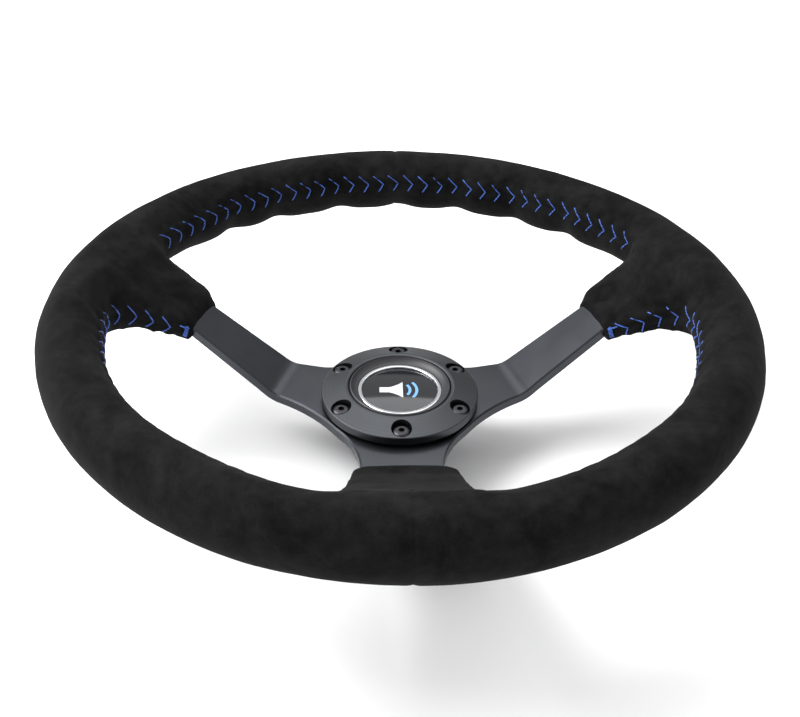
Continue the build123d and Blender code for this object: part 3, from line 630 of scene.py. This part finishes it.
# feed of 0.1 mm a turn, drawn at 0.35 mm so that it shows
feed = add_node(turned, "ShaderNodeTexNoise",
                {"W": tool_path.outputs["Value"], "Scale": 1 / (0.35 * mm), "Detail": 2.0},
                noise_dimensions="1D")
cloud = add_node(turned, "ShaderNodeTexNoise",
                 {"Vector": place.outputs["Object"], "Scale": 1 / (14 * mm), "Detail": 4.0})
tone = add_node(turned, "ShaderNodeMix",
                {0: feed.outputs["Fac"], 6: to_linear("3a3c3f"), 7: to_linear("505255")}, data_type="RGBA")
drive(turned, shader, "Base Color", tone.outputs[2])
polish = add_node(turned, "ShaderNodeMapRange",
                  {"Value": cloud.outputs["Fac"], "To Min": 0.4, "To Max": 0.52})
drive(turned, shader, "Roughness", polish.outputs["Result"])
rings = add_node(turned, "ShaderNodeBump",
                 {"Height": feed.outputs["Fac"], "Strength": 0.22, "Distance": 0.04 * mm})
drive(turned, shader, "Normal", rings.outputs["Normal"])
dress(turned, "trim_ring", "release_hub")


# Hub screws: six M5 button heads of alloy steel, forged and threaded, with oiled black oxide over that.
# They clamp the trim ring, the spacer and the plate to the release hub.
black_oxide, shader = new_material("black_oxide_alloy_steel", metallic=1.0)
place = add_node(black_oxide, "ShaderNodeTexCoord", {})
oil = add_node(black_oxide, "ShaderNodeTexNoise",
               {"Vector": place.outputs["Object"], "Scale": 1 / (1.6 * mm), "Detail": 4.0})
tone = add_node(black_oxide, "ShaderNodeMix",
                {0: oil.outputs["Fac"], 6: to_linear("303033"), 7: to_linear("4a4a4e")}, data_type="RGBA")
drive(black_oxide, shader, "Base Color", tone.outputs[2])
worn = add_node(black_oxide, "ShaderNodeMapRange",
                {"Value": oil.outputs["Fac"], "To Min": 0.26, "To Max": 0.46})
drive(black_oxide, shader, "Roughness", worn.outputs["Result"])
scale = add_node(black_oxide, "ShaderNodeBump",
                 {"Height": oil.outputs["Fac"], "Strength": 0.15, "Distance": 0.05 * mm})
drive(black_oxide, shader, "Normal", scale.outputs["Normal"])
dress(black_oxide, "hub_screws")


# Horn button cap: moulded black ABS with a polished dish and a fine satin on its brim.
# Its skirt slides in the housing, and it carries the bezel, the badge and the moving contact.
moulded, shader = new_material("satin_moulded_black_abs", ior=1.53, specular_ior_level=0.5)
place = add_node(moulded, "ShaderNodeTexCoord", {})
# spark-eroded mould texture of 0.1 mm, drawn at 0.5 mm so that it shows
spark = add_node(moulded, "ShaderNodeTexNoise",
                 {"Vector": place.outputs["Object"], "Scale": 1 / (0.5 * mm), "Detail": 2.0})
flow = add_node(moulded, "ShaderNodeTexNoise",
                {"Vector": place.outputs["Object"], "Scale": 1 / (12 * mm), "Detail": 3.0})
tone = add_node(moulded, "ShaderNodeMix",
                {0: flow.outputs["Fac"], 6: to_linear("242427"), 7: to_linear("2f2f32")}, data_type="RGBA")
drive(moulded, shader, "Base Color", tone.outputs[2])
satin = add_node(moulded, "ShaderNodeMapRange",
                 {"Value": flow.outputs["Fac"], "To Min": 0.42, "To Max": 0.52})
drive(moulded, shader, "Roughness", satin.outputs["Result"])
texture = add_node(moulded, "ShaderNodeBump",
                   {"Height": spark.outputs["Fac"], "Strength": 0.12, "Distance": 0.05 * mm})
drive(moulded, shader, "Normal", texture.outputs["Normal"])
dress(moulded, "horn_cap")


# Bezel: a thin spun brass ring, chrome plated and polished.
# It sits in the cap and holds the badge there.
chrome, shader = new_material("bright_chrome_plate", metallic=1.0)
place = add_node(chrome, "ShaderNodeTexCoord", {})
smear = add_node(chrome, "ShaderNodeTexNoise",
                 {"Vector": place.outputs["Object"], "Scale": 1 / (7 * mm), "Detail": 5.0})
tone = add_node(chrome, "ShaderNodeMix",
                {0: smear.outputs["Fac"], 6: to_linear("c4c6ca"), 7: to_linear("dcdddf")}, data_type="RGBA")
drive(chrome, shader, "Base Color", tone.outputs[2])
wiped = add_node(chrome, "ShaderNodeMapRange",
                 {"Value": smear.outputs["Fac"], "To Min": 0.05, "To Max": 0.16})
drive(chrome, shader, "Roughness", wiped.outputs["Result"])
dress(chrome, "chrome_bezel")


# Badge: a disc of aluminium printed gloss black, with a horn sign in thick screen ink under a clear dome.
# The ground coat, the horn and its two sound waves are layers of ink on the disc.
ink, shader = new_material("gloss_black_screen_print", ior=1.5, specular_ior_level=0.08, coat_weight=1.0,
                           coat_roughness=0.08, coat_ior=1.5)
place = add_node(ink, "ShaderNodeTexCoord", {})
orange_peel = add_node(ink, "ShaderNodeTexNoise",
                       {"Vector": place.outputs["Object"], "Scale": 1 / (1.5 * mm), "Detail": 2.0})
tone = add_node(ink, "ShaderNodeMix",
                {0: orange_peel.outputs["Fac"], 6: to_linear("0d0d0f"), 7: to_linear("151518")},
                data_type="RGBA")
drive(ink, shader, "Base Color", tone.outputs[2])
gloss = add_node(ink, "ShaderNodeMapRange",
                 {"Value": orange_peel.outputs["Fac"], "To Min": 0.1, "To Max": 0.2})
drive(ink, shader, "Roughness", gloss.outputs["Result"])
# the resin over the ink shines as a lens of 150 mm radius does
lens_radius = 150 * mm
lean = add_node(ink, "ShaderNodeVectorMath",
                {0: place.outputs["Object"], 1: (1 / lens_radius, 1 / lens_radius, 0), 2: (0, 0, 1)},
                operation="MULTIPLY_ADD")
lens = add_node(ink, "ShaderNodeVectorMath", {0: lean.outputs["Vector"]}, operation="NORMALIZE")
drive(ink, shader, "Coat Normal", lens.outputs["Vector"])
dress(ink, "badge_disc")

disc_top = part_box("badge_disc")[1].z
disc_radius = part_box("badge_disc")[1].x
ground_height, ground_margin = 0.05 * mm, 0.2 * mm
bpy.ops.object.select_all(action="DESELECT")
bpy.ops.mesh.primitive_circle_add(vertices=128, radius=disc_radius - ground_margin, fill_type="NGON",
                                  location=(0, 0, disc_top - ground_height / 2))
ground_coat = bpy.context.object
ground_coat.name = "printed_ground_coat"
bpy.ops.object.mode_set(mode="EDIT")
bpy.ops.mesh.extrude_region_move(TRANSFORM_OT_translate={"value": (0, 0, 1.5 * ground_height)})
bpy.ops.mesh.select_all(action="SELECT")
bpy.ops.mesh.normals_make_consistent(inside=False)
bpy.ops.object.mode_set(mode="OBJECT")
bpy.ops.object.transform_apply()
settle(ground_coat, ink, "horn_button")

ink_height = 0.06 * mm
ink_middle = disc_top + ground_height
horn_stations = [(-10.6, 2.2), (-5.6, 2.2), (-3.6, 3.0), (-0.6, 4.8), (1.6, 6.8)]
wave_radii = (7.0, 10.6)
wave_width = 1.5 * mm
wave_half_angle = radians(38)
wave_centre = Vector((-1.6 * mm, 0, ink_middle))


def ink_section(name, centre, height):
    """A thin upright rectangle facing X, open in edit mode, to be extruded or spun into raised ink."""
    bpy.ops.object.select_all(action="DESELECT")
    bpy.ops.mesh.primitive_plane_add(size=1, rotation=(0, pi / 2, 0), location=centre)
    piece = bpy.context.object
    piece.name = name
    bpy.ops.object.mode_set(mode="EDIT")
    bpy.ops.transform.resize(value=(1, height, ink_height))
    return piece


def finish_ink(piece):
    """Close the ink's edit and point its faces outwards."""
    bpy.ops.mesh.select_all(action="SELECT")
    bpy.ops.mesh.remove_doubles(threshold=0.001 * mm)
    bpy.ops.mesh.normals_make_consistent(inside=False)
    bpy.ops.object.mode_set(mode="OBJECT")
    bpy.ops.object.transform_apply()
    return piece


first_along, first_half = horn_stations[0]
horn_sign = ink_section("printed_horn_sign", (first_along * mm, 0, ink_middle), 2 * first_half * mm)
for (here, half), (there, next_half) in zip(horn_stations, horn_stations[1:]):
    bpy.ops.mesh.extrude_region_move(TRANSFORM_OT_translate={"value": ((there - here) * mm, 0, 0)})
    bpy.ops.transform.resize(value=(1, next_half / half, 1), center_override=(there * mm, 0, ink_middle))
finish_ink(horn_sign)
pale_ink, shader = new_material("pale_grey_screen_print", roughness=0.35, ior=1.5, coat_weight=1.0,
                                coat_roughness=0.08)
blue_ink, blue_shader = new_material("pale_blue_screen_print", roughness=0.35, ior=1.5, coat_weight=1.0,
                                     coat_roughness=0.08)
for finish, its_shader, thin, thick in ((pale_ink, shader, "d2d4d7", "e8e9eb"),
                                        (blue_ink, blue_shader, "5a9be0", "79b4f0")):
    place = add_node(finish, "ShaderNodeTexCoord", {})
    # the screen's mesh is 0.1 mm, drawn at 0.3 mm so that it shows
    mesh_mark = add_node(finish, "ShaderNodeTexNoise",
                         {"Vector": place.outputs["Object"], "Scale": 1 / (0.3 * mm)})
    tone = add_node(finish, "ShaderNodeMix",
                    {0: mesh_mark.outputs["Fac"], 6: to_linear(thin), 7: to_linear(thick)}, data_type="RGBA")
    drive(finish, its_shader, "Base Color", tone.outputs[2])
settle(horn_sign, pale_ink, "horn_button")
for number, wave_radius in enumerate(wave_radii, start=1):
    start = wave_centre + wave_radius * mm * Vector((cos(wave_half_angle), -sin(wave_half_angle), 0))
    wave = ink_section(f"printed_sound_wave_{number}", start, wave_width)
    bpy.ops.transform.rotate(value=-(pi / 2 - wave_half_angle), orient_axis="Z", center_override=start)
    bpy.ops.mesh.spin(steps=18, angle=-2 * wave_half_angle, center=wave_centre, axis=(0, 0, 1))
    finish_ink(wave)
    settle(wave, blue_ink, "horn_button")


# Badge dome: clear polyurethane resin poured on the badge, which levels out to a smooth lens.
# It lets the print through with hardly a tint; the shine that it gives the print is on the inks' coats.
resin = bpy.data.materials.new("clear_doming_resin")
resin.use_nodes = True
nodes, links = resin.node_tree.nodes, resin.node_tree.links
nodes.remove(nodes["Principled BSDF"])
place = add_node(resin, "ShaderNodeTexCoord", {})
level = add_node(resin, "ShaderNodeTexNoise",
                 {"Vector": place.outputs["Object"], "Scale": 1 / (9 * mm), "Detail": 1.0})
tint = add_node(resin, "ShaderNodeMix",
                {0: level.outputs["Fac"], 6: to_linear("f5f7f9"), 7: to_linear("fcfcfd")}, data_type="RGBA")
clear = add_node(resin, "ShaderNodeBsdfTransparent", {"Color": tint.outputs[2]})
links.new(clear.outputs["BSDF"], nodes["Material Output"].inputs["Surface"])
dress(resin, "badge_dome")


# Horn housing: the flanged cup that the button slides in, moulded in black nylon and slightly waxy.
# It drops into the plate's bore, and the trim ring covers its flange.
nylon, shader = new_material("moulded_black_nylon", ior=1.53)
place = add_node(nylon, "ShaderNodeTexCoord", {})
wax = add_node(nylon, "ShaderNodeTexNoise",
               {"Vector": place.outputs["Object"], "Scale": 1 / (4 * mm), "Detail": 3.0})
tone = add_node(nylon, "ShaderNodeMix",
                {0: wax.outputs["Fac"], 6: to_linear("18181a"), 7: to_linear("262628")}, data_type="RGBA")
drive(nylon, shader, "Base Color", tone.outputs[2])
waxy = add_node(nylon, "ShaderNodeMapRange", {"Value": wax.outputs["Fac"], "To Min": 0.42, "To Max": 0.58})
drive(nylon, shader, "Roughness", waxy.outputs["Result"])
dress(nylon, "horn_housing")


# Horn contacts: stamped brass, the washer under the cap, the cup on the housing's floor and the two
# spade terminals. The sheet is brushed lightly and browns where it has been touched.
brass, shader = new_material("stamped_brass", metallic=1.0)
place = add_node(brass, "ShaderNodeTexCoord", {})
brown = add_node(brass, "ShaderNodeTexNoise",
                 {"Vector": place.outputs["Object"], "Scale": 1 / (3 * mm), "Detail": 5.0})
tone = add_node(brass, "ShaderNodeMix",
                {0: brown.outputs["Fac"], 6: to_linear("a8894c"), 7: to_linear("cfae6a")}, data_type="RGBA")
drive(brass, shader, "Base Color", tone.outputs[2])
brushed = add_node(brass, "ShaderNodeMapRange",
                   {"Value": brown.outputs["Fac"], "To Min": 0.4, "To Max": 0.22})
drive(brass, shader, "Roughness", brushed.outputs["Result"])
dress(brass, "moving_contact", "fixed_contact", "spade_terminals")


# Springs, retaining ring and circlip: drawn and stamped spring steel, oiled, with a blued haze.
# Each spring is one coil of round wire.
spring_steel, shader = new_material("tempered_spring_steel", metallic=1.0)
place = add_node(spring_steel, "ShaderNodeTexCoord", {})
haze = add_node(spring_steel, "ShaderNodeTexNoise",
                {"Vector": place.outputs["Object"], "Scale": 1 / (2.5 * mm), "Detail": 4.0})
tone = add_node(spring_steel, "ShaderNodeMix",
                {0: haze.outputs["Fac"], 6: to_linear("6d7078"), 7: to_linear("9a9a9c")}, data_type="RGBA")
drive(spring_steel, shader, "Base Color", tone.outputs[2])
oiled = add_node(spring_steel, "ShaderNodeMapRange",
                 {"Value": haze.outputs["Fac"], "To Min": 0.24, "To Max": 0.4})
drive(spring_steel, shader, "Roughness", oiled.outputs["Result"])
dress(spring_steel, "horn_retaining_ring", "collar_circlip")

turn_steps, wire_sides = 40, 14
# (node, wire, turns, joint that shortens it, whether its lower end stays still)
springs = [
    ("horn_spring", 1.0 * mm, 4.0, "horn_press", True),
    ("release_spring", 1.6 * mm, 2.4, "collar_release", False),
]
for name, wire, turns, joint, stands in springs:
    low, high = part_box(name)
    rise_per_turn = (high.z - low.z - wire) / turns
    bpy.ops.object.select_all(action="DESELECT")
    bpy.ops.mesh.primitive_circle_add(vertices=wire_sides, radius=wire / 2, rotation=(pi / 2, 0, 0),
                                      location=(high.x - wire / 2, 0, low.z + wire / 2))
    coil = bpy.context.object
    coil.name = name.replace("spring", "coil")
    bpy.ops.object.transform_apply()
    steps = round(turn_steps * turns)
    finish_with(coil, "SCREW", axis="Z", angle=2 * pi * turns, screw_offset=rise_per_turn * turns,
                iterations=1, steps=steps, render_steps=steps)
    bpy.ops.object.mode_set(mode="EDIT")
    bpy.ops.mesh.select_all(action="SELECT")
    bpy.ops.mesh.fill_holes(sides=0)
    bpy.ops.mesh.select_all(action="SELECT")
    bpy.ops.mesh.normals_make_consistent(inside=False)
    bpy.ops.object.mode_set(mode="OBJECT")
    bpy.ops.object.shade_smooth_by_angle(angle=radians(50))
    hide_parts(name)
    settle(coil, spring_steel)
    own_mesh(coil)


# Release collar: turned and fluted aluminium, anodised a satin grey.
# It slides on the release hub's neck towards the flange, against its spring.
grey_anodised, shader = new_material("satin_grey_anodised_aluminium", metallic=1.0)
place = add_node(grey_anodised, "ShaderNodeTexCoord", {})
apart = add_node(grey_anodised, "ShaderNodeSeparateXYZ", {"Vector": place.outputs["Object"]})
# feed of 0.1 mm a turn, drawn at 0.4 mm so that it shows
feed = add_node(grey_anodised, "ShaderNodeTexNoise",
                {"W": apart.outputs["Z"], "Scale": 1 / (0.4 * mm), "Detail": 2.0}, noise_dimensions="1D")
tone = add_node(grey_anodised, "ShaderNodeMix",
                {0: feed.outputs["Fac"], 6: to_linear("8b8d91"), 7: to_linear("a6a8ac")}, data_type="RGBA")
drive(grey_anodised, shader, "Base Color", tone.outputs[2])
satin = add_node(grey_anodised, "ShaderNodeMapRange",
                 {"Value": feed.outputs["Fac"], "To Min": 0.3, "To Max": 0.42})
drive(grey_anodised, shader, "Roughness", satin.outputs["Result"])
lines = add_node(grey_anodised, "ShaderNodeBump",
                 {"Height": feed.outputs["Fac"], "Strength": 0.25, "Distance": 0.05 * mm})
drive(grey_anodised, shader, "Normal", lines.outputs["Normal"])
dress(grey_anodised, "release_collar")


# Lock balls: six hardened and lapped bearing balls with a film of grease.
# They sit in the release hub's neck, inside the collar.
bearing_steel, shader = new_material("lapped_bearing_steel", metallic=1.0)
place = add_node(bearing_steel, "ShaderNodeTexCoord", {})
grease = add_node(bearing_steel, "ShaderNodeTexNoise",
                  {"Vector": place.outputs["Object"], "Scale": 1 / (1.5 * mm), "Detail": 3.0})
tone = add_node(bearing_steel, "ShaderNodeMix",
                {0: grease.outputs["Fac"], 6: to_linear("b4b5b8"), 7: to_linear("c9cacc")}, data_type="RGBA")
drive(bearing_steel, shader, "Base Color", tone.outputs[2])
lapped = add_node(bearing_steel, "ShaderNodeMapRange",
                  {"Value": grease.outputs["Fac"], "To Min": 0.06, "To Max": 0.2})
drive(bearing_steel, shader, "Roughness", lapped.outputs["Result"])
dress(bearing_steel, *[f"lock_ball_{number}" for number in range(1, 7)])


# Floor: a pale seamless sheet of paper that the wheel stands on.
# It is wide enough to be the whole background.
floor_half = 6.0
floor_gap = 0.2 * mm
bpy.ops.object.select_all(action="DESELECT")
bpy.ops.mesh.primitive_plane_add(size=2 * floor_half, location=(0, 0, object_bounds()[0][2] - floor_gap))
floor = bpy.context.object
floor.name = "studio_floor"
paper, shader = new_material("white_seamless_paper", roughness=0.9, specular_ior_level=0.2)
place = add_node(paper, "ShaderNodeTexCoord", {})
pulp = add_node(paper, "ShaderNodeTexNoise",
                {"Vector": place.outputs["Object"], "Scale": 1 / (60 * mm), "Detail": 3.0})
tone = add_node(paper, "ShaderNodeMix",
                {0: pulp.outputs["Fac"], 6: to_linear("f4f4f5"), 7: to_linear("f8f8f8")}, data_type="RGBA")
drive(paper, shader, "Base Color", tone.outputs[2])
floor.data.materials.append(paper)


# Studio: a white tent all round, one large soft box over the left shoulder and a weak one on the right.
# A third one stands behind the wheel.
scene = bpy.context.scene
scene.view_settings.view_transform = "Standard"
tent_strength = 0.75
tent = bpy.data.worlds.new("white_tent")
tent.use_nodes = True
tent.node_tree.nodes["Background"].inputs["Color"].default_value = to_linear("ffffff")
tent.node_tree.nodes["Background"].inputs["Strength"].default_value = tent_strength
scene.world = tent
aim = Vector((0, 0, 0.07))
# (name, place, size, watts)
soft_boxes = [
    ("soft_box_left", (-1.1, 0.15, 1.25), 1.1, 40.0),
    ("soft_box_right", (1.1, -0.5, 0.9), 0.9, 1.5),
    ("soft_box_back", (0.0, 1.1, 1.9), 1.4, 18.0),
]
for name, spot, size, watts in soft_boxes:
    turn = (aim - Vector(spot)).to_track_quat("-Z", "Y").to_euler()
    bpy.ops.object.light_add(type="AREA", location=spot, rotation=turn)
    lamp = bpy.context.object
    lamp.name = name
    lamp.data.size = size
    lamp.data.energy = watts

# Camera: above the near side of the wheel, looking down on it.
# Its place and its three axes are given in the wheel's own frame.
bpy.ops.object.camera_add()
camera = bpy.context.object
camera.name = "camera"
camera.data.sensor_width = 36.0
camera.data.lens = 45.55
camera.data.clip_start = 0.01
right = Vector((0.99949345, -0.02543919, 0.01912313))
above = Vector((-0.00145419, 0.56374575, 0.8259471))
away = Vector((0.03179201, 0.82555653, -0.56342319))
camera.matrix_world = Matrix((
    (right.x, above.x, -away.x, -16.78 * mm),
    (right.y, above.y, -away.y, -429.60 * mm),
    (right.z, above.z, -away.z, 353.44 * mm),
    (0, 0, 0, 1),
))
scene.camera = camera
